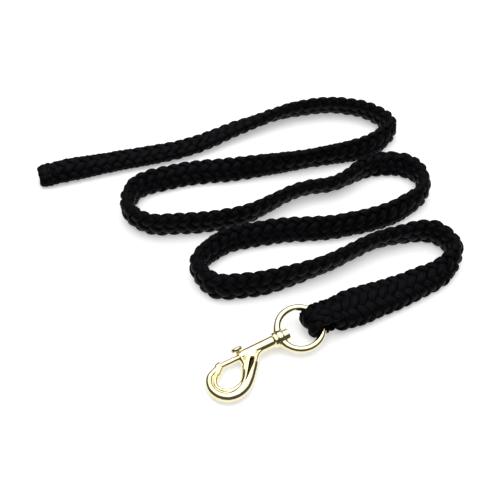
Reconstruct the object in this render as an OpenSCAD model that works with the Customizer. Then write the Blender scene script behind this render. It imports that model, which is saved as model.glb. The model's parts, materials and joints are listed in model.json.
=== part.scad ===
// Lead rope with a swivel bolt snap, laid out on a flat surface. Millimetres, +Z up.
// The snap's barrel lies along +X. The origin is below the middle of the snap, on the surface.

/* [Rope] */
// Width across the flat side of the braid
rope_w = 23.5; // [20:0.5:26]
// Thickness of the braid
rope_h = 13.5; // [12:0.5:15]
// Size of the melted hand end, as a share of the rope's
seal_share = 0.9; // [0.8:0.02:1]

/* [Splice] */
// Widest part of the doubled stretch
splice_w = 34; // [30:1:36]
// Height of the doubled stretch behind the ring
splice_h = 19; // [17:0.5:20]

/* [Eye] */
// Width of the rope where it folds through the ring
eye_w = 23.4; // [22:0.2:23.6]
// Thickness of the rope where it folds through the ring
eye_wall = 5.6; // [5:0.2:5.8]
// Half the height of the fold, to the middle of the rope
eye_rise = 8.5; // [8.4:0.1:8.6]
// How far the fold bulges into the ring, to the middle of the rope
eye_bulge = 10.5; // [9:0.5:12]

/* [Ring] */
// Radius of the ring, to the middle of its wire
ring_r = 18.8; // [18:0.1:20]
// Diameter of the ring's wire
ring_wire = 5.8; // [5:0.1:6]
// Diameter of the bored boss on the ring
boss_d = 12.4; // [9:0.2:12.6]
// Length of the bored boss
boss_l = 5.6; // [5:0.1:6]
// How far the ring is turned about the barrel, in degrees
ring_roll = 12; // [0:1:14]

/* [Snap] */
// Outer diameter of the barrel
barrel_d = 9.4; // [9:0.1:10.4]
// Diameter of the flange at the back of the barrel
flange_d = 12.8; // [11:0.2:13]
// Length of the flange
flange_l = 3; // [2:0.2:4]
// Diameter of the sliding bolt
bolt_d = 5.1; // [4.6:0.1:5.4]
// Diameter of the thumb knob
knob_d = 10; // [7:0.2:10.4]
// Direction of the knob, from sideways towards up, in degrees
knob_turn = 35; // [0:5:60]
// How far the bolt slides
bolt_travel = 16; // [12:1:17]
// How much the snap rises towards the ring, in degrees
snap_pitch = 4.2; // [3.8:0.1:4.4]

/* [Hidden] */

// Along the barrel's axis, measured from the hook's nose
nose_x = 0;
mouth_x = 16.2;
knob_x = 17;
bolt_tail_x = 21;
plug_x = 44;
flange_x = 51;
end_play = 0.1;
head_l = 4.8;
post_head_d = 9.8;
stem_d = 4.1;
recess_depth = 2.4;

// Where the nose lies in the row's frame
snap_at = [-37.8, 5.65, 5.3];

// Clearances
bolt_gap = 0.05;
stem_gap = 0.05;
plug_gap = 0.02;
shank_gap = 0.02;
seat_gap = 0.6;

bore_d = bolt_d + 2 * bolt_gap;
boss_x = flange_x + end_play;
ring_x = boss_x + boss_l / 2 + ring_r;
hinge_x = ring_x + ring_r;
slot_w = 3.3;
neck_d = 3;
shank_d = 2;
slot_end_x = knob_x + bolt_travel + slot_w / 2;

spring_d = 4.9;
spring_wire = 0.7;
spring_turns = 9;
spring_steps = 12;
spring_gap = 0.2;

// The rope from the splice to the hand end: x, y, and how far its flat side is turned up
// from the surface, in degrees
splice_route = [
    [63, 4.2, 12], [82, 4, 15], [108, 2.2, 17], [150, 0.8, 27]
];
route = [
    [179, 3, 45], [201, 16, 88], [200, 39, 98], [158, 57, 76], [84, 56, 76],
    [22, 65, 106], [-7, 80, 106], [-11, 105, 88], [20, 121, 62], [66, 114, 54],
    [126, 90, 66], [192, 83, 70], [222, 93, 90], [233, 113, 92], [224, 137, 126],
    [200, 146, 108], [152, 142, 62], [126, 149, 58], [50, 144, 84], [2, 159, 90],
    [-30, 178, 88], [-37, 200, 90], [-22, 223, 70], [22, 225, 42], [80, 205, 56],
    [146, 185, 94], [232, 177, 70], [250, 187, 90], [249, 211, 80], [224, 243, 70],
    [180, 260, 66], [118, 265, 26], [54, 262, 2], [-22, 276, -12], [-84, 287, -22]
];
hand_end = [-95, 289, -22];

// Width and height of the doubled rope at each point of the splice
splice_sizes = [
    [30, 21.6], [splice_w, splice_h], [31, 17.8], [26.5, 15.8]
];

rope_sides = 12;
steps_between = 2;
eye_steps = 10;
eye_tuck = 1;

// The hook from its nose to the barrel: x, y, half width, half thickness
hook_rows = [
    [0.4, -0.2, 3.5, 3.5], [-5, -2.6, 3.8, 3.8], [-10.4, -6, 4.2, 4.1], [-13.7, -11.4, 4.5, 4.3],
    [-13.9, -17.6, 4.6, 4.3], [-11.3, -23.3, 4.9, 4.3], [-6.2, -26.9, 5, 4.3], [0, -27.9, 5, 4.3],
    [6.6, -26.1, 5.1, 4.3], [12.5, -21.6, 5.3, 4.3], [17.1, -15.8, 5.9, 4.3],
    [20.8, -10.2, 7, 4.3], [24.6, -5.2, 7.6, 4.2], [28.5, -2.1, 6, 4.2], [33, -0.6, 4.1, 4],
    [36, 0, 4, 4]
];
hook_sides = 16;
hook_rings_between = 2;

rope_black = [0.05, 0.05, 0.06];
brass = [0.86, 0.76, 0.45];
bright_brass = [0.93, 0.86, 0.6];
spring_steel = [0.7, 0.7, 0.7];

function unit(v) = v / norm(v);

// Slope of a chain of rows at row i, each neighbour counted by its nearness
function slope(rows, i) =
    i == 0 ? (rows[1] - rows[0]) / gap(rows, 0) :
    i == len(rows) - 1 ? (rows[i] - rows[i - 1]) / gap(rows, i - 1) :
    let (before = gap(rows, i - 1), after = gap(rows, i))
    ((rows[i] - rows[i - 1]) / before * after + (rows[i + 1] - rows[i]) / after * before)
        / (before + after);

// Distance in plan between row i and the next one
function gap(rows, i) = norm([rows[i + 1].x - rows[i].x, rows[i + 1].y - rows[i].y]);

// A point at share t of the smooth stretch between row i and the next one
function between(rows, i, t) =
    let (span = gap(rows, i))
    rows[i] * (2 * t ^ 3 - 3 * t ^ 2 + 1)
        + slope(rows, i) * span * (t ^ 3 - 2 * t ^ 2 + t)
        + rows[i + 1] * (3 * t ^ 2 - 2 * t ^ 3)
        + slope(rows, i + 1) * span * (t ^ 3 - t ^ 2);

// The rows with a smooth curve drawn through them, n steps to each stretch
function smooth(rows, n) = concat(
    [for (i = [0 : len(rows) - 2], j = [0 : n - 1]) between(rows, i, j / n)],
    [rows[len(rows) - 1]]
);

// Height of the middle of an oval that is turned up by this angle and rests on z = 0
function rest_height(w, h, turn) = norm([w / 2 * sin(turn), h / 2 * cos(turn)]);

// An oval of points round a centre, across two directions
function oval(centre, across, up, w, h, sides) = [
    for (k = [0 : sides - 1])
        centre + across * (w / 2 * cos(360 * k / sides)) + up * (h / 2 * sin(360 * k / sides))
];

// The ovals of a rope that rests on z = 0; a row is x, y, turn, width, height
function rope_ovals(rows, sides) = [
    for (i = [0 : len(rows) - 1])
        let (r = rows[i],
             along = unit([slope(rows, i).x, slope(rows, i).y, 0]),
             left = [-along.y, along.x, 0],
             across = left * cos(r[2]) + [0, 0, sin(r[2])],
             up = cross(along, across),
             centre = [r.x, r.y, rest_height(r[3], r[4], r[2])])
        oval(centre, across, up, r[3], r[4], sides)
];

// A row of the rope with its width and height
function sized(row, size) = [row[0], row[1], row[2], size[0], size[1]];

rope_rows = concat(
    [for (i = [0 : len(splice_route) - 1]) sized(splice_route[i], splice_sizes[i])],
    [for (r = route) sized(r, [rope_w, rope_h])],
    [sized(hand_end, [rope_w * seal_share, rope_h * seal_share])]
);
rope_rings = rope_ovals(smooth(rope_rows, steps_between), rope_sides);
splice_end = len(splice_route) * steps_between;
seal_start = len(rope_rings) - 1 - steps_between;

// A closed skin over a row of ovals
module skin(ovals) {
    sides = len(ovals[0]);
    rings = len(ovals);
    points = [for (o = ovals) each o];
    walls = [
        for (i = [0 : rings - 2], k = [0 : sides - 1])
            let (a = i * sides + k, b = i * sides + (k + 1) % sides)
            each [[a, a + sides, b], [b, a + sides, b + sides]]
    ];
    first = [[for (k = [0 : sides - 1]) k]];
    last = [[for (k = [sides - 1 : -1 : 0]) (rings - 1) * sides + k]];
    polyhedron(points, concat(walls, first, last));
}

// Puts the barrel's axis, drawn along +X from the nose, where the snap lies
module on_barrel() {
    translate(snap_at)
        rotate([0, -snap_pitch, 0])
            children();
}

// A cylinder along the barrel's axis
module rod(from_x, to_x, d) {
    translate([from_x, 0, 0])
        rotate([0, 90, 0])
            cylinder(h = to_x - from_x, d = d, $fn = 64);
}

// The ovals from one of them to another
function stretch(from_i, to_i) = [for (i = [from_i : to_i]) rope_rings[i]];

module rope() {
    color(rope_black)
        skin(stretch(splice_end, seal_start));
}

module sealed_end() {
    color(rope_black)
        skin(stretch(seal_start, len(rope_rings) - 1));
}

module rope_splice() {
    color(rope_black)
        skin(stretch(0, splice_end));
}

// The fold runs back over the ring's wire, round it and back under it
module rope_eye() {
    leg = splice_route[0].x + eye_tuck;
    hinge = snap_at + [hinge_x * cos(snap_pitch), 0, hinge_x * sin(snap_pitch)];
    leg_l = leg - hinge.x;
    bow = [for (i = [0 : eye_steps])
        let (a = 90 + 180 * i / eye_steps)
        [eye_bulge * cos(a), eye_rise * sin(a), a + 90]];
    rows = concat([[leg_l, eye_rise - 0.8, 180]], bow, [[leg_l, 0.8 - eye_rise, 360]]);
    ovals = [for (r = rows)
        let (turned = [-sin(r[2]), 0, cos(r[2])])
        oval([r[0], 0, r[1]], [0, 1, 0], turned, eye_w, eye_wall, rope_sides)];
    color(rope_black)
        translate(hinge)
            rotate([ring_roll, 0, 0])
                skin(ovals);
}

module swivel_ring() {
    color(brass)
        on_barrel()
            rotate([ring_roll, 0, 0])
                difference() {
                    union() {
                        translate([ring_x, 0, 0])
                            rotate_extrude($fn = 96)
                                translate([ring_r, 0])
                                    circle(d = ring_wire, $fn = 48);
                        rod(boss_x, boss_x + boss_l, boss_d);
                    }
                    rod(boss_x - 1, boss_x + boss_l + 1, stem_d + 2 * stem_gap);
                    rod(boss_x - 1, boss_x, flange_d);
                    rod(boss_x + boss_l, boss_x + boss_l + head_l, post_head_d + seat_gap);
                }
}

module swivel_post() {
    head_x = boss_x + boss_l + end_play;
    color(brass)
        on_barrel()
            union() {
                rod(plug_x, flange_x, bore_d - 2 * plug_gap);
                rod(flange_x, head_x, stem_d);
                rod(head_x, head_x + head_l, post_head_d);
            }
}

module hook_arm() {
    rows = smooth(hook_rows, hook_rings_between);
    ovals = [
        for (i = [0 : len(rows) - 1])
            let (r = rows[i],
                 along = unit([slope(rows, i).x, slope(rows, i).y, 0]),
                 left = [-along.y, along.x, 0])
            oval([r.x, r.y, 0], left, [0, 0, 1], 2 * r[2], 2 * r[3], hook_sides)
    ];
    skin(ovals);
}

module snap_body() {
    color(bright_brass)
        on_barrel()
            difference() {
                union() {
                    rod(mouth_x, flange_x, barrel_d);
                    rod(flange_x - flange_l, flange_x, flange_d);
                    hook_arm();
                }
                rod(mouth_x - 1, flange_x + 1, bore_d);
                rod(nose_x - recess_depth, mouth_x - 1, bolt_d + 4 * bolt_gap);
                rotate([knob_turn, 0, 0])
                    union() {
                        translate([mouth_x - 1, 0, -slot_w / 2])
                            cube([slot_end_x - slot_w / 2 - mouth_x + 1, barrel_d, slot_w]);
                        translate([slot_end_x - slot_w / 2, 0, 0])
                            rotate([-90, 0, 0])
                                cylinder(h = barrel_d, d = slot_w, $fn = 32);
                    }
            }
}

module bolt() {
    color(bright_brass)
        on_barrel()
            difference() {
                rod(nose_x - recess_depth + 0.2, bolt_tail_x, bolt_d);
                rotate([knob_turn, 0, 0])
                    translate([knob_x, 0, 0])
                        rotate([-90, 0, 0])
                            cylinder(h = bolt_d, d = shank_d + 2 * shank_gap, $fn = 32);
            }
}

module thumb_knob() {
    neck_from = bolt_d / 2 + 0.1;
    head_from = barrel_d / 2 + 0.5;
    color(brass)
        on_barrel()
            rotate([knob_turn, 0, 0])
                translate([knob_x, 0, 0])
                    rotate([-90, 0, 0])
                        rotate_extrude($fn = 48)
                            polygon([
                                [0, 0.3], [shank_d / 2, 0.3], [shank_d / 2, neck_from],
                                [neck_d / 2, neck_from], [neck_d / 2, head_from],
                                [knob_d / 2 - 0.6, head_from], [knob_d / 2, head_from + 0.6],
                                [knob_d / 2, head_from + 2], [knob_d / 2 - 0.5, head_from + 2.8],
                                [knob_d / 2 - 1.6, head_from + 3.3], [0, head_from + 3.5]
                            ]);
}

module bolt_spring() {
    from_x = bolt_tail_x + spring_gap + spring_wire / 2;
    to_x = plug_x - spring_gap - spring_wire / 2;
    steps = spring_turns * spring_steps;
    coil_r = (spring_d - spring_wire) / 2;
    ovals = [
        for (i = [0 : steps])
            let (a = 360 * i / spring_steps,
                 outwards = [0, cos(a), sin(a)],
                 x = from_x + (to_x - from_x) * i / steps)
            oval(outwards * coil_r + [x, 0, 0], outwards, [1, 0, 0], spring_wire, spring_wire, 6)
    ];
    color(spring_steel)
        on_barrel()
            skin(ovals);
}

rope();
sealed_end();
rope_splice();
rope_eye();
swivel_ring();
swivel_post();
snap_body();
bolt();
thumb_knob();
bolt_spring();
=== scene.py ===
"""A braided lead rope with a swivel bolt snap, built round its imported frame. Metres, +Z up."""

import json
import math

import bpy
import numpy as np
from mathutils import Matrix, Vector


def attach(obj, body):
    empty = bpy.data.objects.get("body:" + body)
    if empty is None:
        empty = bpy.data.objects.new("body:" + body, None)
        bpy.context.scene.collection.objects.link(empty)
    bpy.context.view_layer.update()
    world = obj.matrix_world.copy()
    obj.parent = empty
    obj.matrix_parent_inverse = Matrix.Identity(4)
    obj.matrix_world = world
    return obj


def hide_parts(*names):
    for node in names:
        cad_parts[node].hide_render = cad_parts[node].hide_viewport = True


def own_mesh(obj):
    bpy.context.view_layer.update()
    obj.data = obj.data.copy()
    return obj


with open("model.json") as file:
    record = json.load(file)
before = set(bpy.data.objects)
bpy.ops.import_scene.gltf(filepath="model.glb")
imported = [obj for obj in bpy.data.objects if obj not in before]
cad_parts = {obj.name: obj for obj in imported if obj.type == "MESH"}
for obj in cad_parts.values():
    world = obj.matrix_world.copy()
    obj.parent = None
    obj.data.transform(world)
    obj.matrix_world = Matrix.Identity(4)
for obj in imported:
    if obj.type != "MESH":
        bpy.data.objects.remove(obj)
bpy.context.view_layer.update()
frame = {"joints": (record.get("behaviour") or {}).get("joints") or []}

MM = 0.001


# ---------------------------------------------------------------- camera

AIM = Vector((0.0444, 0.1110, 0))
HEADING, ELEVATION, DISTANCE = 28, 47, 0.7392
FOCAL_LENGTH = 58.4


def make_camera():
    """A long lens that looks down on the rope from the hook's side."""
    heading, elevation = math.radians(HEADING), math.radians(ELEVATION)
    look = Vector((
        math.sin(heading) * math.cos(elevation),
        math.cos(heading) * math.cos(elevation),
        -math.sin(elevation),
    ))
    lens = bpy.data.cameras.new("camera")
    lens.sensor_width = 36
    lens.lens = FOCAL_LENGTH
    lens.clip_start = 0.01
    camera = bpy.data.objects.new("camera", lens)
    camera.location = AIM - look * DISTANCE
    camera.rotation_euler = look.to_track_quat("-Z", "Y").to_euler()
    bpy.context.scene.collection.objects.link(camera)
    bpy.context.scene.camera = camera


make_camera()


# ---------------------------------------------------------------- the rope's route

ROPE_W, ROPE_H, ROPE_PITCH = 0.0235, 0.0135, 0.065
SEAL_SHARE = 0.9

# Along the splice: x, y, turn of the flat side in degrees, width, height, pitch of the braid
SPLICE_ROUTE = (
    (0.063, 0.0042, 12, 0.0300, 0.0216, 0.050),
    (0.082, 0.0040, 15, 0.0340, 0.0190, 0.052),
    (0.108, 0.0022, 17, 0.0310, 0.0178, 0.055),
    (0.150, 0.0008, 27, 0.0265, 0.0158, 0.061),
)
# From the splice to the hand end: x, y, turn
ROUTE = (
    (0.179, 0.003, 45), (0.201, 0.016, 88), (0.200, 0.039, 98), (0.158, 0.057, 76),
    (0.084, 0.056, 76), (0.022, 0.065, 106), (-0.007, 0.080, 106), (-0.011, 0.105, 88),
    (0.020, 0.121, 62), (0.066, 0.114, 54), (0.126, 0.090, 66), (0.192, 0.083, 70),
    (0.222, 0.093, 90), (0.233, 0.113, 92), (0.224, 0.137, 126), (0.200, 0.146, 108),
    (0.152, 0.142, 62), (0.126, 0.149, 58), (0.050, 0.144, 84), (0.002, 0.159, 90),
    (-0.030, 0.178, 88), (-0.037, 0.200, 90), (-0.022, 0.223, 70), (0.022, 0.225, 42),
    (0.080, 0.205, 56), (0.146, 0.185, 94), (0.232, 0.177, 70), (0.250, 0.187, 90),
    (0.249, 0.211, 80), (0.224, 0.243, 70), (0.180, 0.260, 66), (0.118, 0.265, 26),
    (0.054, 0.262, 2), (-0.022, 0.276, -12), (-0.084, 0.287, -22),
)
HAND_END = (-0.095, 0.289, -22)

CURVE_STEPS = 24


def smooth(rows, steps):
    """A smooth curve through the rows, each neighbour's slope counted by its nearness."""
    rows = np.array(rows, float)
    gaps = np.linalg.norm(np.diff(rows[:, :2], axis=0), axis=1)[:, None]
    leans = np.diff(rows, axis=0) / gaps
    inner = (leans[:-1] * gaps[1:] + leans[1:] * gaps[:-1]) / (gaps[:-1] + gaps[1:])
    slopes = np.vstack([leans[:1], inner, leans[-1:]])
    t = (np.arange(steps) / steps)[:, None]
    stretches = [
        rows[i] * (2 * t**3 - 3 * t**2 + 1)
        + slopes[i] * gaps[i] * (t**3 - 2 * t**2 + t)
        + rows[i + 1] * (3 * t**2 - 2 * t**3)
        + slopes[i + 1] * gaps[i] * (t**3 - t**2)
        for i in range(len(rows) - 1)
    ]
    return np.vstack(stretches + [rows[-1:]])


def unit(v):
    return v / np.linalg.norm(v, axis=-1, keepdims=True)


class Line:
    """A rope's middle line: at each length along it, its middle, its width direction, its
    thickness direction, its half width, its half height, its turns of braid so far and the
    length of one turn."""

    def __init__(self, middles, across, up, half_w, half_h, pitch):
        steps = np.linalg.norm(np.diff(middles, axis=0), axis=1)
        self.s = np.concatenate([[0], np.cumsum(steps)])
        self.length = self.s[-1]
        turns = np.concatenate([[0], np.cumsum(steps * 2 / (pitch[1:] + pitch[:-1]))])
        self.columns = np.column_stack([middles, across, up, half_w, half_h, turns, pitch])

    def at(self, s):
        table = np.column_stack([np.interp(s, self.s, c) for c in self.columns.T])
        return (table[:, 0:3], unit(table[:, 3:6]), unit(table[:, 6:9]),
                table[:, 9], table[:, 10], table[:, 11], table[:, 12])


# How much fuller than its plain section the braid is, on each side, and from where on
FULLER_W, FULLER_H, FULL_FROM = 1.1 * MM, 0.9 * MM, 35 * MM


def rope_line():
    """The rope from the splice to the hand end, resting on the surface."""
    rows = (
        list(SPLICE_ROUTE)
        + [(x, y, turn, ROPE_W, ROPE_H, ROPE_PITCH) for x, y, turn in ROUTE]
        + [HAND_END + (ROPE_W * SEAL_SHARE, ROPE_H * SEAL_SHARE, ROPE_PITCH)]
    )
    x, y, turn, w, h, pitch = smooth(rows, CURVE_STEPS).T
    turn = np.radians(turn)
    middles = np.column_stack([x, y, np.hypot(w / 2 * np.sin(turn), h / 2 * np.cos(turn))])
    heading = unit(np.gradient(np.column_stack([x, y]), axis=0))
    left = np.column_stack([-heading[:, 1], heading[:, 0], 0 * x])
    along = np.column_stack([heading, 0 * x])
    z = np.array([0, 0, 1])
    across = left * np.cos(turn)[:, None] + z * np.sin(turn)[:, None]
    gone = np.concatenate([[0], np.cumsum(np.hypot(np.diff(x), np.diff(y)))])
    full = np.clip(gone / FULL_FROM, 0, 1)
    return Line(middles, across, np.cross(along, across),
                w / 2 + FULLER_W * full, h / 2 + FULLER_H * full, pitch)


# ---------------------------------------------------------------- braid

# A strand's thickness, its way in and out from the middle, and the room for unevenness
STRAND_T, DIVE, UNEVEN = 3.7 * MM, 1.7 * MM, 0.35 * MM
STRAND_SIDES = 20
LAY_STRANDS = 6
# The waves over and under on one turn, and where round the rope the first one crests
FLOATS, COLUMN_TURN = 3, 1 / 24
CROWN = 0.12
OVAL_STEPS = 120
WOBBLE_WAVES = (0.021, 0.047, 0.113)
PRESS_SOFT = 0.4 * MM
rng = np.random.default_rng(12)


def skin(name, rings, lengths):
    """A closed skin over rings of points, with a UV map along and round it."""
    count, sides = rings.shape[:2]
    start = np.arange(count - 1)[:, None] * sides
    k = np.arange(sides)[None, :]
    a, b = start + k, start + (k + 1) % sides
    quads = np.stack([a, b, b + sides, a + sides], axis=-1).reshape(-1, 4)
    caps = [list(range(sides))[::-1], list(range((count - 1) * sides, count * sides))]
    mesh = bpy.data.meshes.new(name)
    mesh.from_pydata(rings.reshape(-1, 3).tolist(), [], quads.tolist() + caps)
    u0 = np.repeat(lengths[:-1], sides)
    u1 = np.repeat(lengths[1:], sides)
    v0 = np.tile(np.arange(sides) / sides, count - 1)
    v1 = v0 + 1 / sides
    walls = np.stack([u0, v0, u0, v1, u1, v1, u1, v0], axis=-1).ravel()
    ends = np.zeros(4 * sides)
    layer = mesh.uv_layers.new(name="along")
    layer.data.foreach_set("uv", np.concatenate([walls, ends]))
    mesh.shade_smooth()
    piece = bpy.data.objects.new(name, mesh)
    bpy.context.scene.collection.objects.link(piece)
    return piece


def on_oval(half_w, half_h, share, offset):
    """Points and outward directions at these shares of the way round ovals, whose
    way round is measured at this offset outside them."""
    phi = np.linspace(0, 2 * np.pi, OVAL_STEPS + 1)
    angles = []
    for w, h, part in zip(half_w, half_h, share % 1):
        ellipse = np.column_stack([w * np.cos(phi), h * np.sin(phi)])
        outward = unit(np.column_stack([np.cos(phi) * h, np.sin(phi) * w]))
        steps = np.linalg.norm(np.diff(ellipse + outward * offset, axis=0), axis=1)
        way = np.concatenate([[0], np.cumsum(steps)])
        angles.append(np.interp(part * way[-1], way, phi))
    angles = np.array(angles)
    points = np.column_stack([half_w * np.cos(angles), half_h * np.sin(angles)])
    outward = unit(np.column_stack([half_h * np.cos(angles), half_w * np.sin(angles)]))
    return points, outward


def wobble(s, size):
    """A slow seeded unevenness along a strand."""
    phases = rng.uniform(0, 2 * np.pi, len(WOBBLE_WAVES))
    waves = (np.sin(2 * np.pi * s / w + p) for w, p in zip(WOBBLE_WAVES, phases))
    return size * sum(waves) / len(WOBBLE_WAVES)


def pressed(heights):
    """Heights with what lies lowest pressed flat on the surface, softly."""
    return PRESS_SOFT * np.logaddexp(0, heights / PRESS_SOFT)


def strand(name, line, lay, place, from_s, to_s, step, thick=STRAND_T, dive=DIVE):
    """One strand of a braid: it winds one way round the line, over two and under two."""
    s = np.linspace(from_s, to_s, int((to_s - from_s) / step) + 1)
    middle, across, up, half_w, half_h, turns, pitch = line.at(s)
    wall_w = half_w - dive - thick / 2 - UNEVEN
    wall_h = half_h - dive - thick / 2 - UNEVEN
    share = place / LAY_STRANDS + lay * turns + wobble(s, 0.010)
    points, outward = on_oval(wall_w, wall_h, share, dive)
    rise = lay * np.cos(2 * np.pi * FLOATS * (share - COLUMN_TURN))
    depth = dive * (rise + CROWN * rise**2 - CROWN) + wobble(s, 0.30 * MM)
    place_2d = points + outward * depth[:, None]
    path = middle + across * place_2d[:, :1] + up * place_2d[:, 1:]
    out = across * outward[:, :1] + up * outward[:, 1:]
    tangent = unit(np.gradient(path, axis=0))
    out = unit(out - tangent * np.sum(out * tangent, axis=1, keepdims=True))
    side = np.cross(out, tangent)

    crest_w, crest_h = wall_w + dive, wall_h + dive
    round_ = np.pi * (3 * (crest_w + crest_h)
                      - np.sqrt((3 * crest_w + crest_h) * (crest_w + 3 * crest_h)))
    spacing = round_ / LAY_STRANDS * pitch / np.hypot(round_, pitch)
    width = spacing * (0.94 + 0.10 * rise + wobble(s, 0.09))
    height = thick * (0.97 + 0.06 * rise + wobble(s, 0.06))

    a = 2 * np.pi * np.arange(STRAND_SIDES) / STRAND_SIDES
    rings = (
        path[:, None, :]
        + side[:, None, :] * (np.cos(a)[None, :] * width[:, None] / 2)[:, :, None]
        + out[:, None, :] * (np.sin(a)[None, :] * height[:, None] / 2)[:, :, None]
    )
    rings[..., 2] = pressed(rings[..., 2])
    lengths = np.concatenate([[0], np.cumsum(np.linalg.norm(np.diff(path, axis=0), axis=1))])
    return skin(name, rings, lengths)


def braid(prefix, line, from_s, to_s, step, **shape):
    """The twelve strands of a braid, six each way."""
    return [
        strand(f"{prefix}_{side}_{n + 1}", line, lay, n, from_s, to_s, step, **shape)
        for side, lay in (("left", 1), ("right", -1))
        for n in range(LAY_STRANDS)
    ]


ROPE = rope_line()
# The strands start just inside the fold and end inside the melted lump
STRANDS_FROM, STRANDS_TO = 0.001, ROPE.length - 5 * MM
strands = braid("strand", ROPE, STRANDS_FROM, STRANDS_TO, 1.6 * MM)


# ---------------------------------------------------------------- the eye round the ring

JOINTS = {j["name"]: j for j in frame["joints"]}
HINGE = Vector(JOINTS["ring_swing"]["pos_m"])
HINGE_AXIS = Vector(JOINTS["ring_swing"]["axis"])
EYE_W, EYE_WALL, EYE_RISE, EYE_BULGE = 22.6 * MM, 5.6 * MM, 8.5 * MM, 10.5 * MM
EYE_PITCH = 0.058
# The fold's legs from the hinge into the splice, and how far they close in along them
EYE_LEG, EYE_CLOSING = 17 * MM, 2.2 * MM
BOW_STEPS, LEG_STEPS = 37, 12
# The fold's push into the ring in millimetres: at its middle, more on its far side, in lumps
PUSH, PUSH_FAR, PUSH_LUMPS = 2.5, 1.5, 0.5
FLARE_REACH = 8 * MM


def eye_line():
    """The flattened rope back over the ring's wire, round it and back under it."""
    roll = math.asin(HINGE_AXIS.z)
    y = np.array([0, math.cos(roll), math.sin(roll)])
    x = np.array([1, 0, 0])
    z = np.cross(x, y)
    angle = np.radians(np.linspace(90, 270, BOW_STEPS))
    bow = np.column_stack([EYE_BULGE * np.cos(angle), EYE_RISE * np.sin(angle)])
    run = np.linspace(EYE_LEG, 0, LEG_STEPS)[:-1]
    rise = EYE_RISE - EYE_CLOSING * (run / EYE_LEG) ** 2
    flat = np.vstack([
        np.column_stack([run, rise]), bow, np.column_stack([run[::-1], -rise[::-1]])
    ])
    middles = np.array(HINGE) + flat[:, :1] * x + flat[:, 1:] * z
    tangent = unit(np.gradient(middles, axis=0))
    across = np.tile(y, (len(flat), 1))
    same = np.ones(len(flat))
    return Line(middles, across, np.cross(tangent, across),
                same * EYE_W / 2, same * EYE_WALL / 2, same * EYE_PITCH)


def join(name, pieces):
    """Pieces of one finish become one piece."""
    bpy.ops.object.select_all(action="DESELECT")
    for piece in pieces:
        piece.select_set(True)
    bpy.context.view_layer.objects.active = pieces[0]
    bpy.ops.object.join()
    pieces[0].name = name
    return pieces[0]


def crown(piece):
    """Pushes the fold's middle out into the ring, more on its far side, and flares its edges
    clear of the wire."""
    mesh = piece.data
    points = np.empty(len(mesh.vertices) * 3)
    mesh.vertices.foreach_get("co", points)
    points = points.reshape(-1, 3)
    from_hinge = points - np.array(HINGE)
    across = np.clip(from_hinge @ np.array(HINGE_AXIS) / (EYE_W / 2), -1, 1)
    round_bow = np.clip(-from_hinge[:, 0] / EYE_BULGE, 0, 1)
    lumps = PUSH_LUMPS * np.sin(2 * np.pi * 1.25 * across + 0.6)
    edge = np.abs(across) ** 3
    push = (PUSH + PUSH_FAR * across + lumps) * (1 - edge) * round_bow**1.5
    away = unit(from_hinge * (1, 0, 1) + 1e-9) * edge[:, None]
    near = np.clip(1 - from_hinge[:, 0] / FLARE_REACH, 0, 1)[:, None]
    points += away * near * MM
    points[:, 0] -= push * MM
    points[:, 2] = pressed(points[:, 2])
    mesh.vertices.foreach_set("co", points.ravel())


EYE = eye_line()
eye_braid = join("eye_braid", braid("eye", EYE, 0, EYE.length, 1.2 * MM,
                                    thick=2.5 * MM, dive=0.85 * MM))
crown(eye_braid)


# ---------------------------------------------------------------- the melted hand end

SEAL_L = 12 * MM
SEAL_SIDES, SEAL_ROWS = 96, 30
# Lengths over which the lump grows out of the braid and rounds over at its rim
SEAL_GROWTH, SEAL_RIM = 3 * MM, 4 * MM
# Its size against the braid's in millimetres: set in, swelling out of it, drawn in at the rim
SEAL_INSET, SEAL_SWELL, SEAL_DRAW = 0.9, 0.5, 1.7
# Its relief in millimetres: what is left of the strands, and a fine grain
SEAL_LUMPS, SEAL_GRAIN = 0.75, 0.22
# Its worn face from the rim inwards: share of the rim's size, millimetres out
FACE_ROWS = ((0.95, 0.3), (0.88, 0.5), (0.75, 0.3), (0.5, -0.4), (0.25, -0.9), (0.05, -1))


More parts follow.
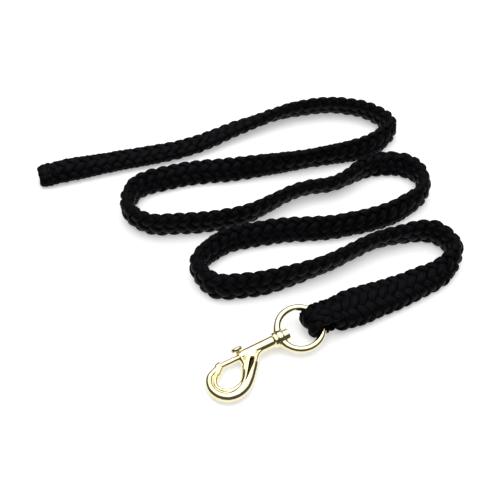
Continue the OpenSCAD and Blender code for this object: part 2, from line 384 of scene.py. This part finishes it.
def sealed_end():
    """The braid's last centimetre, melted into one hard lump with a worn, notched face."""
    s = np.linspace(ROPE.length - SEAL_L, ROPE.length, SEAL_ROWS)
    middle, across, up, half_w, half_h, turns, _ = ROPE.at(s)
    grown = np.clip((s - s[0]) / SEAL_GROWTH, 0, 1)
    grown = grown * grown * (3 - 2 * grown)
    melted = np.clip((s - s[0]) / SEAL_L, 0, 1)
    rounding = 1 - np.sqrt(1 - np.clip((s - s[-1]) / SEAL_RIM + 1, 0, 1) ** 2)
    a = 2 * np.pi * np.arange(SEAL_SIDES) / SEAL_SIDES
    share = a / (2 * np.pi)
    lumps = (
        np.cos(2 * np.pi * LAY_STRANDS * (share[None, :] - turns[:, None]))
        * np.cos(2 * np.pi * LAY_STRANDS * (share[None, :] + turns[:, None]))
    )
    fine = np.sin(11 * a + 2)[None, :] * np.sin(900 * s)[:, None]
    relief = (SEAL_LUMPS * lumps * (1 - 0.4 * melted[:, None]) + SEAL_GRAIN * fine) * MM
    size = (grown * SEAL_SWELL - SEAL_INSET - SEAL_DRAW * rounding) * MM
    outward = unit(np.column_stack([np.cos(a), np.sin(a) * 1.6]))
    rings = []
    for i in range(SEAL_ROWS):
        flat = np.column_stack([
            np.cos(a) * (half_w[i] + size[i]), np.sin(a) * (half_h[i] + size[i])
        ])
        flat = flat + outward * relief[i][:, None]
        rings.append(middle[i] + flat[:, :1] * across[i] + flat[:, 1:] * up[i])
    last = rings[-1]
    centre = last.mean(axis=0)
    along = np.cross(across[-1], up[-1])
    for share_in, out_by in FACE_ROWS:
        bumps = (0.3 * np.sin(5 * a + 7 * share_in) + 0.5 * np.abs(np.cos(a)) ** 3) * share_in
        out = along * ((out_by + bumps) * MM)[:, None]
        rings.append(centre + (last - centre) * share_in + out)
    rings = np.array(rings)
    rings[..., 2] = pressed(rings[..., 2])
    lengths = np.concatenate([s, s[-1] + MM * np.arange(1, len(FACE_ROWS) + 1)])
    return skin("sealed_end_cap", rings, lengths)


seal = sealed_end()


# ---------------------------------------------------------------- shop tools for the snap

BARREL = Vector(JOINTS["snap_swivel"]["axis"])
SWIVEL_U = 54.0 * MM
NOSE = Vector(JOINTS["snap_swivel"]["pos_m"]) - BARREL * SWIVEL_U
ON_BARREL = Matrix.Translation(NOSE) @ Matrix.Rotation(-math.asin(BARREL.z), 4, "Y")
TURNED_SIDES, SWEPT_SIDES, SWEPT_STEPS = 72, 32, 6
BEVEL_SEGMENTS, BEVEL_ANGLE, SHADE_ANGLE = 3, 30, 40
CAST_ROUNDS = 4


def only(piece):
    """Selects this piece alone."""
    bpy.ops.object.select_all(action="DESELECT")
    piece.select_set(True)
    bpy.context.view_layer.objects.active = piece


def disc(name, x, radius, sides):
    """A filled circle across the X axis, left in edit mode with its face selected."""
    bpy.ops.object.select_all(action="DESELECT")
    bpy.ops.mesh.primitive_circle_add(vertices=sides, radius=radius * MM, fill_type="NGON",
                                      location=(x * MM, 0, 0), rotation=(0, math.pi / 2, 0))
    piece = bpy.context.object
    piece.name = name
    bpy.ops.object.transform_apply(location=True, rotation=True, scale=True)
    bpy.ops.object.mode_set(mode="EDIT")
    bpy.ops.mesh.select_all(action="SELECT")
    return piece


def close(piece):
    """Leaves edit mode with the faces pointing outwards."""
    bpy.ops.mesh.select_all(action="SELECT")
    bpy.ops.mesh.normals_make_consistent(inside=False)
    bpy.ops.object.mode_set(mode="OBJECT")
    return piece


def turned(name, stations):
    """A piece turned about the X axis: its stations are x and radius, in millimetres."""
    x, radius = stations[0]
    piece = disc(name, x, radius, TURNED_SIDES)
    for next_x, next_radius in stations[1:]:
        bpy.ops.mesh.extrude_region_move(
            TRANSFORM_OT_translate={"value": ((next_x - x) * MM, 0, 0)})
        grow = next_radius / radius
        bpy.ops.transform.resize(value=(1, grow, grow), center_override=(next_x * MM, 0, 0))
        x, radius = next_x, next_radius
    return close(piece)


def swept(name, rows, sides=SWEPT_SIDES):
    """A rod in the XY plane: its rows are x, y, half width and half thickness, in millimetres."""
    rows = smooth(rows, SWEPT_STEPS)
    legs = unit(np.diff(rows[:, :2], axis=0))
    along = np.vstack([legs[:1], legs[:-1] + legs[1:], legs[-1:]])
    heading = np.degrees(np.unwrap(np.arctan2(along[:, 1], along[:, 0])))
    piece = disc(name, 0, 1, sides)
    bpy.ops.transform.translate(value=(rows[0][0] * MM, rows[0][1] * MM, 0))
    for i, (x, y, half_w, half_t) in enumerate(rows):
        centre = (x * MM, y * MM, 0)
        if i:
            before = rows[i - 1]
            bpy.ops.mesh.extrude_region_move(TRANSFORM_OT_translate={
                "value": ((x - before[0]) * MM, (y - before[1]) * MM, 0)})
            turn_about(-heading[i - 1], centre)
            bpy.ops.transform.resize(value=(1, half_w / before[2], half_t / before[3]),
                                     center_override=centre)
        else:
            bpy.ops.transform.resize(value=(1, half_w, half_t), center_override=centre)
        turn_about(heading[i], centre)
    return close(piece)


def turn_about(degrees, centre):
    """Turns the selection from +X towards +Y. Without a window the operator's sign is reversed."""
    bpy.ops.transform.rotate(value=-math.radians(degrees), orient_axis="Z", center_override=centre)


def apply(piece, kind, **settings):
    """Adds a modifier with these settings and applies it."""
    only(piece)
    modifier = piece.modifiers.new(kind.lower(), kind)
    for key, value in settings.items():
        setattr(modifier, key, value)
    bpy.ops.object.modifier_apply(modifier=modifier.name)
    return piece


def bevelled(piece, width):
    return apply(piece, "BEVEL", width=width * MM, segments=BEVEL_SEGMENTS,
                 limit_method="ANGLE", angle_limit=math.radians(BEVEL_ANGLE))


def cut(piece, cutter):
    """Takes the cutter's shape out of the piece."""
    apply(piece, "BOOLEAN", operation="DIFFERENCE", solver="EXACT", object=cutter)
    bpy.data.objects.remove(cutter)


def cast(name, parts, voxel):
    """Parts grown together as one casting, with softly rounded corners between them."""
    piece = join(name, parts)
    apply(piece, "REMESH", mode="VOXEL", voxel_size=voxel * MM)
    return apply(piece, "SMOOTH", factor=0.5, iterations=CAST_ROUNDS)


def seat(piece, matrix):
    """Puts a piece made about the X axis where the snap lies, and smooths its shading."""
    piece.data.transform(matrix)
    only(piece)
    bpy.ops.object.shade_smooth_by_angle(angle=math.radians(SHADE_ANGLE))
    return piece


def turned_by(degrees):
    """A turn about the barrel, from sideways towards up."""
    return Matrix.Rotation(math.radians(degrees), 4, "X")


# ---------------------------------------------------------------- the snap

# In millimetres and degrees. X runs from the hook's nose along the barrel.
BARREL_R, FLANGE_R, BORE_R = 4.7, 6.4, 2.6
MOUTH_X, FLANGE_X, FLANGE_L = 16.2, 51.0, 3.0
BOSS_X, BOSS_L, BOSS_R = 51.1, 5.6, 6.2
STEM_R, HEAD_R, HEAD_L, PLUG_X = 2.05, 4.9, 4.8, 44.0
RING_R, WIRE_R, RING_ROLL = 18.8, 2.9, 12
RING_X = BOSS_X + BOSS_L / 2 + RING_R
KNOB_X, KNOB_TURN, SLOT_W, TRAVEL = 17.0, 35, 3.3, 16.0
BOLT_R, BOLT_TAIL = 2.55, 21.0

# The hook from its nose to the barrel: x, y, half width, half thickness
HOOK_ROWS = (
    (-1.5, -0.6, 3.2, 3.5), (-6.6, -2.4, 3.2, 3.8), (-12.2, -5.4, 3.3, 4.1),
    (-15.4, -11.2, 3.4, 4.3), (-15.5, -18, 3.5, 4.3), (-12.4, -24.4, 3.7, 4.3),
    (-6.8, -28.4, 4, 4.3), (0, -29, 4.5, 4.3), (6.8, -26.6, 5, 4.3), (12.5, -21.8, 5.3, 4.3),
    (17, -15.9, 5.9, 4.3), (20.5, -10.4, 6.7, 4.3), (24, -5.2, 6.6, 4.2), (28.3, -1.7, 5, 4.1),
    (33, -0.4, 4.1, 4), (36, 0, 4, 4),
)
# The rounded lip inside the hook, which a crease parts from it
LIP_ROWS = (
    (-2.2, -3, 1.6, 3), (-7, -6.9, 2, 3.6), (-10.6, -11.2, 2.3, 3.9), (-11.8, -16.4, 2.4, 3.9),
    (-8.6, -22.2, 2.5, 3.9), (-3.2, -25.2, 2.6, 3.9), (2.6, -25, 2.6, 3.8), (8, -22.4, 2.2, 3.4),
    (11.5, -18.6, 1.5, 2.8),
)
BEAK_ROWS = ((-0.8, -2.2, 2, 3.2), (-6.4, -7, 2.1, 3.2))
# The hollow curve from the web's outer edge to the barrel
GUSSET_ROWS = (
    (36, -3.6, 1, 2.4), (32, -4.6, 1.5, 2.9), (28.6, -7.4, 1.8, 3.4), (25.4, -11.6, 1.9, 3.8),
)
# The same on its inner side, from the barrel's mouth down
THROAT_ROWS = (
    (17.6, -1.5, 2.2, 3.4), (17.2, -6, 2.2, 3.7), (16.3, -10, 2, 4), (14.4, -14.2, 1.6, 4),
)
# The sunk teardrop on each face of the web
HOLLOW_ROWS = (
    (24.6, -7.8, 2.1, 2.4), (22, -11, 2.2, 2.4), (18.6, -14.8, 1.7, 2.1), (13.9, -19.8, 1, 1.5),
    (10, -23.6, 0.5, 0.8),
)
HOLLOW_Z, HOLLOW_SIDES = 4.5, 4
# The wire's swelling at the boss: how much, between which degrees round the ring
SWELL, SWELL_FROM, SWELL_TO = 1.5, 8, 35
# The knob from inside the bolt outwards: distance from the barrel's axis, radius
KNOB_ROWS = (
    (0.3, 1.0), (2.65, 1.0), (2.65, 1.5), (4.9, 1.5), (5.2, 4.3), (5.8, 5.0), (7.2, 5.1),
    (8.0, 4.6), (8.5, 3.4), (8.8, 1.8), (8.9, 0.4),
)
COIL_R, COIL_WIRE_R, COIL_TURNS, COIL_STEPS = 2.1, 0.35, 9, 24


def snap_body():
    """Barrel, flange, hook and nose in one casting, bored and slotted for the bolt."""
    barrel = bevelled(turned("barrel", [
        (MOUTH_X, BARREL_R), (FLANGE_X - FLANGE_L - 0.6, BARREL_R),
        (FLANGE_X - FLANGE_L, FLANGE_R), (FLANGE_X, FLANGE_R),
    ]), 0.5)
    hook = swept("hook", HOOK_ROWS)
    for side in (-1, 1):
        hollow = swept("hollow", HOLLOW_ROWS, HOLLOW_SIDES)
        hollow.data.transform(Matrix.Translation((0, 0, side * HOLLOW_Z * MM)))
        cut(hook, hollow)
    nose = bevelled(turned("nose", [(-4.5, 3.2), (-1.2, 3.9), (0.3, 3.9)]), 0.5)
    body = cast("snap_casting", [
        barrel, hook, nose, swept("lip", LIP_ROWS), swept("beak", BEAK_ROWS),
        swept("gusset", GUSSET_ROWS), swept("throat", THROAT_ROWS),
    ], 0.26)
    cut(body, turned("bore", [(MOUTH_X - 1, BORE_R), (FLANGE_X + 1, BORE_R)]))
    cut(body, turned("recess", [(-2.4, BOLT_R + 0.1), (MOUTH_X - 1, BOLT_R + 0.1)]))
    slot = swept("slot", [(MOUTH_X - 2, 0, SLOT_W / 2, SLOT_W / 2),
                          (KNOB_X + TRAVEL + SLOT_W / 2, 0, SLOT_W / 2, SLOT_W / 2)])
    slot.data.transform(Matrix.Translation((0, 3 * MM, 0)))
    slot.data.transform(turned_by(KNOB_TURN))
    cut(body, slot)
    mark_hollows(body)
    return seat(body, ON_BARREL)


def mark_hollows(body):
    """Marks the casting's sunk teardrops, which the polishing wheel doesn't reach: the plating is
    duller there and is darkened with painted shade.
    """
    mesh = body.data
    points = np.empty(len(mesh.vertices) * 3)
    mesh.vertices.foreach_get("co", points)
    points = points.reshape(-1, 3) / MM
    line = smooth(HOLLOW_ROWS, 8)
    apart = np.linalg.norm(points[:, None, :2] - line[None, :, :2], axis=2) - line[None, :, 2]
    sunk = np.clip(-apart.min(axis=1) / 0.5, 0, 1) * (np.abs(points[:, 2]) > 1)
    mesh.attributes.new("sunk", "FLOAT", "POINT").data.foreach_set("value", sunk)


def flare(side):
    """The wire's swelling where it grows out of the boss."""
    rows = []
    for degrees in (SWELL_FROM, 14, 20, 27, SWELL_TO):
        turn = math.radians(degrees)
        swell = SWELL * (1 - (degrees - SWELL_FROM) / (SWELL_TO - SWELL_FROM)) ** 1.5
        rows.append((RING_X - RING_R * math.cos(turn), side * RING_R * math.sin(turn),
                     WIRE_R + swell, WIRE_R + swell))
    return swept("flare", rows)


def swivel_ring():
    """The round eye and its bored boss in one casting, faced off against the flange."""
    bpy.ops.object.select_all(action="DESELECT")
    bpy.ops.mesh.primitive_torus_add(major_radius=RING_R * MM, minor_radius=WIRE_R * MM,
                                     major_segments=144, minor_segments=36,
                                     location=(RING_X * MM, 0, 0))
    wire = bpy.context.object
    bpy.ops.object.transform_apply(location=True, rotation=True, scale=True)
    boss = turned("boss", [
        (BOSS_X, BOSS_R - 1.1), (BOSS_X + 0.5, BOSS_R - 0.4), (BOSS_X + 1.5, BOSS_R),
        (BOSS_X + BOSS_L - 1.5, BOSS_R), (BOSS_X + BOSS_L - 0.5, BOSS_R - 0.4),
        (BOSS_X + BOSS_L, BOSS_R - 1.1),
    ])
    ring = cast("ring_casting", [wire, boss, flare(-1), flare(1)], 0.25)
    bore_r, seat_r, boss_end = STEM_R + 0.05, HEAD_R + 0.3, BOSS_X + BOSS_L
    cut(ring, turned("bore", [(BOSS_X - 2, bore_r), (boss_end + 2, bore_r)]))
    cut(ring, turned("seat", [(boss_end, seat_r), (boss_end + HEAD_L, seat_r)]))
    cut(ring, turned("face", [(BOSS_X - 2, FLANGE_R), (BOSS_X, FLANGE_R)]))
    return seat(ring, ON_BARREL @ turned_by(RING_ROLL))


def swivel_post():
    """The rivet: its plug in the barrel, its stem through the boss and its head in the ring."""
    head_x = BOSS_X + BOSS_L + 0.1
    post = turned("post_turning", [
        (PLUG_X, BORE_R - 0.02), (FLANGE_X, BORE_R - 0.02), (FLANGE_X, STEM_R), (head_x, STEM_R),
        (head_x, HEAD_R), (head_x + HEAD_L, HEAD_R),
    ])
    return seat(bevelled(post, 0.45), ON_BARREL)


def bolt():
    """The sliding bar that closes the hook."""
    rod = turned("bolt_turning", [(-2.2, BOLT_R), (BOLT_TAIL, BOLT_R)])
    return seat(bevelled(rod, 0.5), ON_BARREL)


def thumb_knob():
    """The knob that stands on the bolt through the barrel's slot."""
    knob = bevelled(turned("knob_turning", KNOB_ROWS), 0.3)
    stand = Matrix.Translation((KNOB_X * MM, 0, 0)) @ Matrix.Rotation(math.pi / 2, 4, "Z")
    return seat(knob, ON_BARREL @ turned_by(KNOB_TURN) @ stand)


def return_spring():
    """The coil behind the bolt, drawn with the bolt closed."""
    from_x, to_x = BOLT_TAIL + 0.55, PLUG_X - 0.55
    bpy.ops.object.select_all(action="DESELECT")
    bpy.ops.mesh.primitive_circle_add(vertices=10, radius=COIL_WIRE_R * MM,
                                      location=(COIL_R * MM, 0, 0), rotation=(math.pi / 2, 0, 0))
    spring = bpy.context.object
    spring.name = "spring_coil"
    bpy.ops.object.transform_apply(location=True, rotation=True, scale=True)
    steps = COIL_TURNS * COIL_STEPS
    apply(spring, "SCREW", angle=2 * math.pi * COIL_TURNS, screw_offset=(to_x - from_x) * MM,
          steps=steps, render_steps=steps, axis="Z")
    only(spring)
    bpy.ops.object.mode_set(mode="EDIT")
    bpy.ops.mesh.select_all(action="SELECT")
    bpy.ops.mesh.fill_holes(sides=12)
    close(spring)
    lie = Matrix.Translation((from_x * MM, 0, 0)) @ Matrix.Rotation(math.pi / 2, 4, "Y")
    return seat(spring, ON_BARREL @ lie)


body = snap_body()
ring = swivel_ring()
post = swivel_post()
bolt_rod = bolt()
knob = thumb_knob()
spring = return_spring()


# ---------------------------------------------------------------- materials

def new_material(name):
    material = bpy.data.materials.new(name)
    material.use_nodes = True
    tree = material.node_tree
    return material, tree, tree.nodes["Principled BSDF"]


def node(tree, kind, inputs=(), **settings):
    """A node with its settings made and its inputs joined or filled in."""
    made = tree.nodes.new("ShaderNode" + kind)
    for key, value in settings.items():
        setattr(made, key, value)
    for key, value in dict(inputs).items():
        if isinstance(value, bpy.types.NodeSocket):
            tree.links.new(value, made.inputs[key])
        else:
            made.inputs[key].default_value = value
    return made


def maths(tree, operation, *values):
    made = node(tree, "Math", dict(enumerate(values)), operation=operation)
    return made.outputs[0]


def effect(name, inputs, outputs):
    """A node group with float inputs, a vector one for the place, and float outputs."""
    tree = bpy.data.node_groups.new(name, "ShaderNodeTree")
    tree.interface.new_socket("Place", in_out="INPUT", socket_type="NodeSocketVector")
    for label, value in inputs.items():
        socket = tree.interface.new_socket(label, in_out="INPUT", socket_type="NodeSocketFloat")
        socket.default_value = value
    for label in outputs:
        tree.interface.new_socket(label, in_out="OUTPUT", socket_type="NodeSocketFloat")
    return tree, tree.nodes.new("NodeGroupInput").outputs, tree.nodes.new("NodeGroupOutput").inputs


def mottle():
    """Uneven patches between a low and a high value."""
    tree, given, out = effect("mottle", {"Scale": 100, "Low": 0, "High": 1}, ["Value"])
    noise = node(tree, "TexNoise", {"Vector": given["Place"], "Scale": given["Scale"], "Detail": 4,
                                    "Roughness": 0.55})
    value = node(tree, "MapRange", {"Value": noise.outputs["Fac"], "From Min": 0.3, "From Max": 0.7,
                                    "To Min": given["Low"], "To Max": given["High"]})
    tree.links.new(value.outputs["Result"], out["Value"])
    return tree


def yarns():
    """Twisted yarns side by side along a strand, with loose filaments on them. It also gives the
    grooves between the yarns, which the braid darkens with painted shade, and streaks along them,
    which the braid paints as highlights.
    """
    tree, given, out = effect("yarns", {"Count": 9, "Twist": 25, "Fuzz": 0.35},
                              ["Height", "Groove", "Highlight_streak"])
    place = node(tree, "SeparateXYZ", {"Vector": given["Place"]}).outputs
    leaning = maths(tree, "MULTIPLY", place["X"], given["Twist"])
    phase = maths(tree, "MULTIPLY_ADD", place["Y"], given["Count"], leaning)
    ridge = maths(tree, "ABSOLUTE", maths(tree, "SINE", maths(tree, "MULTIPLY", phase, math.pi)))
    ridge = maths(tree, "POWER", ridge, 0.6)
    stretched = node(tree, "Mapping", {"Vector": given["Place"], "Scale": (420, 75, 1)})
    fuzz = node(tree, "TexNoise", {"Vector": stretched.outputs[0], "Scale": 1, "Detail": 3})
    fuzz = maths(tree, "MULTIPLY", fuzz.outputs["Fac"], given["Fuzz"])
    tree.links.new(maths(tree, "ADD", ridge, fuzz), out["Height"])
    tree.links.new(maths(tree, "SUBTRACT", 1, ridge), out["Groove"])
    # Streaks along the yarns, used as painted highlights
    streak_stretch = node(tree, "Mapping", {"Vector": given["Place"], "Scale": (190, 11, 1)})
    streak = node(tree, "TexNoise", {"Vector": streak_stretch.outputs[0], "Scale": 1, "Detail": 2})
    streak = node(tree, "MapRange", {"Value": streak.outputs["Fac"], "From Min": 0.36,
                                     "From Max": 0.66})
    tree.links.new(streak.outputs["Result"], out["Highlight_streak"])
    return tree


def hairlines():
    """Fine polishing lines, drawn out along one direction."""
    tree, given, out = effect("hairlines", {"Scale": 900}, ["Height"])
    drawn = node(tree, "Mapping", {"Vector": given["Place"], "Scale": (0.06, 1, 1)})
    noise = node(tree, "TexNoise", {"Vector": drawn.outputs[0], "Scale": given["Scale"],
                                    "Detail": 5})
    tree.links.new(noise.outputs["Fac"], out["Height"])
    return tree


MOTTLE, YARNS, HAIRLINES = mottle(), yarns(), hairlines()


def use(tree, group, place, **values):
    """A shared effect at this place, with these values."""
    made = tree.nodes.new("ShaderNodeGroup")
    made.node_tree = group
    tree.links.new(place, made.inputs["Place"])
    for label, value in values.items():
        made.inputs[label].default_value = value
    return made.outputs


def mixed(tree, share, low, high):
    made = node(tree, "Mix", {"Factor": share}, data_type="RGBA")
    made.inputs["A"].default_value = (*low, 1)
    made.inputs["B"].default_value = (*high, 1)
    return made.outputs["Result"]


# Painted shade: the dark olive put into the casting's sunk teardrops
RECESS_SHADE = (0.075, 0.066, 0.024, 1)


def plated(name, pale, deep, smoothness, hairline, hollows=False):
    """Polished plating: a wavy cast skin under it, finger-dulled patches and fine lines. In the
    hollows that are marked on a casting it is duller and darkened with painted shade."""
    material, tree, shader = new_material(name)
    place = node(tree, "TexCoord").outputs["Object"]
    shader.inputs["Metallic"].default_value = 1
    tone = use(tree, MOTTLE, place, Scale=70, Low=0, High=1)["Value"]
    dull = use(tree, MOTTLE, place, Scale=260, Low=smoothness, High=smoothness + 0.07)["Value"]
    lines = use(tree, HAIRLINES, place, Scale=1400)["Height"]
    waves = use(tree, MOTTLE, place, Scale=85, Low=0, High=1)["Value"]
    colour = mixed(tree, tone, pale, deep)
    if hollows:
        # In the marked hollows the colour turns to painted shade and the roughness rises
        sunk = node(tree, "Attribute", attribute_name="sunk").outputs["Fac"]
        colour = node(tree, "Mix", {"Factor": sunk, "A": colour, "B": RECESS_SHADE}, data_type="RGBA")
        colour = colour.outputs["Result"]
        dull = maths(tree, "MULTIPLY_ADD", sunk, 0.25, dull)
    tree.links.new(colour, shader.inputs["Base Color"])
    tree.links.new(dull, shader.inputs["Roughness"])
    wavy = node(tree, "Bump", {"Height": waves, "Strength": 0.35, "Distance": 0.0004})
    bump = node(tree, "Bump", {"Height": lines, "Strength": hairline, "Distance": 0.00002,
                               "Normal": wavy.outputs[0]})
    tree.links.new(bump.outputs[0], shader.inputs["Normal"])
    return material


def braided():
    """Black filament yarn, patchy in tone at random: paler streaks along the yarns are painted
    highlights, and the grooves are darkened with painted shade.
    """
    material, tree, shader = new_material("black_braid")
    along = node(tree, "UVMap", uv_map="along").outputs[0]
    place = node(tree, "TexCoord").outputs["Object"]
    yarn = use(tree, YARNS, along, Count=9, Twist=25, Fuzz=0.45)
    tone = use(tree, MOTTLE, place, Scale=130, Low=0.25, High=1)["Value"]
    dull = use(tree, MOTTLE, place, Scale=400, Low=0.36, High=0.6)["Value"]
    # Painted highlight: paler streaks along the yarns, patchy in a random tone
    highlight_share = maths(tree, "MULTIPLY", tone, yarn["Highlight_streak"])
    black = mixed(tree, highlight_share, (0.0003, 0.0003, 0.0007), (0.0062, 0.0062, 0.0104))
    # Painted shade darkens the grooves between the yarns
    deep = node(tree, "Mix", {"Factor": maths(tree, "MULTIPLY", yarn["Groove"], 0.6), "A": black},
                data_type="RGBA")
    deep.inputs["B"].default_value = (0.0004, 0.0004, 0.0005, 1)
    tree.links.new(deep.outputs["Result"], shader.inputs["Base Color"])
    tree.links.new(dull, shader.inputs["Roughness"])
    bump = node(tree, "Bump", {"Height": yarn["Height"], "Strength": 0.9, "Distance": 0.0004})
    tree.links.new(bump.outputs[0], shader.inputs["Normal"])
    shader.inputs["Sheen Weight"].default_value = 0.008
    shader.inputs["Sheen Roughness"].default_value = 0.4
    shader.inputs["Specular IOR Level"].default_value = 0.072
    return material


def melted():
    """Braid melted hard: glassy, with small pits and a brownish scorch."""
    material, tree, shader = new_material("melted_end")
    place = node(tree, "TexCoord").outputs["Object"]
    tone = use(tree, MOTTLE, place, Scale=300, Low=0, High=1)["Value"]
    dull = use(tree, MOTTLE, place, Scale=700, Low=0.4, High=0.62)["Value"]
    pits = use(tree, MOTTLE, place, Scale=1100, Low=0, High=1)["Value"]
    colour = mixed(tree, tone, (0.0006, 0.0006, 0.0009), (0.004, 0.0036, 0.0040))
    tree.links.new(colour, shader.inputs["Base Color"])
    tree.links.new(dull, shader.inputs["Roughness"])
    bump = node(tree, "Bump", {"Height": pits, "Strength": 0.4, "Distance": 0.0002})
    tree.links.new(bump.outputs[0], shader.inputs["Normal"])
    shader.inputs["Specular IOR Level"].default_value = 0.07
    return material


def drawn_steel():
    """Plain spring wire."""
    material, tree, shader = new_material("drawn_steel")
    place = node(tree, "TexCoord").outputs["Object"]
    shader.inputs["Metallic"].default_value = 1
    tone = use(tree, MOTTLE, place, Scale=500, Low=0, High=1)["Value"]
    dull = use(tree, MOTTLE, place, Scale=900, Low=0.25, High=0.4)["Value"]
    colour = mixed(tree, tone, (0.62, 0.62, 0.63), (0.5, 0.5, 0.5))
    tree.links.new(colour, shader.inputs["Base Color"])
    tree.links.new(dull, shader.inputs["Roughness"])
    return material


PALE, DEEP = (0.91, 0.84, 0.56), (0.88, 0.78, 0.46)
looks = {
    "braid": braided(),
    "melted_braid": melted(),
    "plated_ring": plated("ring_plating", PALE, DEEP, 0.04, 0.15),
    "plated_post": plated("post_plating", PALE, DEEP, 0.05, 0.2),
    "plated_body": plated("body_plating", PALE, DEEP, 0.03, 0.1, hollows=True),
    "plated_bolt": plated("bolt_plating", PALE, DEEP, 0.07, 0.35),
    "spring_steel": drawn_steel(),
}


def dress(piece, slot, rides_on, *nodes):
    """Gives a piece its finish and its body, and hides the CAD nodes it stands for."""
    piece.data.materials.clear()
    piece.data.materials.append(looks[slot])
    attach(piece, rides_on)
    if nodes:
        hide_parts(*nodes)


for piece in strands[1:]:
    dress(piece, "braid", "rope")
dress(strands[0], "braid", "rope", "rope", "rope_splice")
dress(eye_braid, "braid", "rope", "rope_eye")
dress(seal, "melted_braid", "rope", "sealed_end")
dress(ring, "plated_ring", "ring", "swivel_ring")
dress(post, "plated_post", "snap", "swivel_post")
dress(body, "plated_body", "snap", "snap_body")
dress(bolt_rod, "plated_bolt", "bolt", "bolt")
dress(knob, "plated_post", "bolt", "thumb_knob")
dress(spring, "spring_steel", "bolt", "bolt_spring")

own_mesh(spring)


# ---------------------------------------------------------------- floor and light

def make_stage():
    """A pale floor that mirrors don't see."""
    bpy.ops.object.select_all(action="DESELECT")
    bpy.ops.mesh.primitive_plane_add(size=12, location=(0, 0, 0))
    floor = bpy.context.object
    floor.name = "floor"
    material, _, shader = new_material("pale_floor")
    shader.inputs["Base Color"].default_value = (0.85, 0.85, 0.85, 1)
    shader.inputs["Roughness"].default_value = 0.7
    shader.inputs["Emission Color"].default_value = (1, 1, 1, 1)
    shader.inputs["Emission Strength"].default_value = 0.42
    floor.data.materials.append(material)
    floor.visible_glossy = False


TENT_AXIS = (0.114, 0.214, 0.970)
# The tent's brightness, by the cosine of the angle from its axis
TENT_STOPS = ((0, 0.03), (0.60, 0.03), (0.70, 0.52), (0.9, 0.58), (0.96, 1))


def make_lights():
    """A bright tent that leans away from the front, with the dark room seen under its edge,
    and a softbox at its top. What metal sees of the floor is pale close by and dark far off."""
    world = bpy.data.worlds.new("studio")
    bpy.context.scene.world = world
    world.use_nodes = True
    tree = world.node_tree
    tent = tree.nodes["Background"]
    ways = node(tree, "TexCoord").outputs["Generated"]
    height = node(tree, "VectorMath", {0: ways, 1: TENT_AXIS}, operation="DOT_PRODUCT")
    bands = node(tree, "ValToRGB", {"Fac": height.outputs["Value"]})
    ramp = bands.color_ramp
    for n, (position, value) in enumerate(TENT_STOPS):
        stop = ramp.elements[n] if n < 1 else ramp.elements.new(position)
        stop.position = position
        stop.color = (value, value, value, 1)
    ramp.elements.remove(ramp.elements[-1])
    drop = node(tree, "SeparateXYZ", {"Vector": ways}).outputs["Z"]
    near = node(tree, "MapRange", {"Value": drop, "From Min": -0.2, "From Max": -0.34,
                                   "To Max": 0.42})
    glow = node(tree, "VectorMath", {0: bands.outputs["Color"], 1: near.outputs["Result"]},
                operation="ADD")
    tree.links.new(glow.outputs[0], tent.inputs["Color"])
    tent.inputs["Strength"].default_value = 2.5
    white = node(tree, "Background", {"Color": (1, 1, 1, 1), "Strength": 1.1})
    seen = node(tree, "LightPath").outputs["Is Camera Ray"]
    both = node(tree, "MixShader", {0: seen, 1: tent.outputs[0], 2: white.outputs[0]})
    tree.links.new(both.outputs[0], tree.nodes["World Output"].inputs["Surface"])


make_stage()
make_lights()
bpy.context.scene.view_settings.view_transform = "Standard"
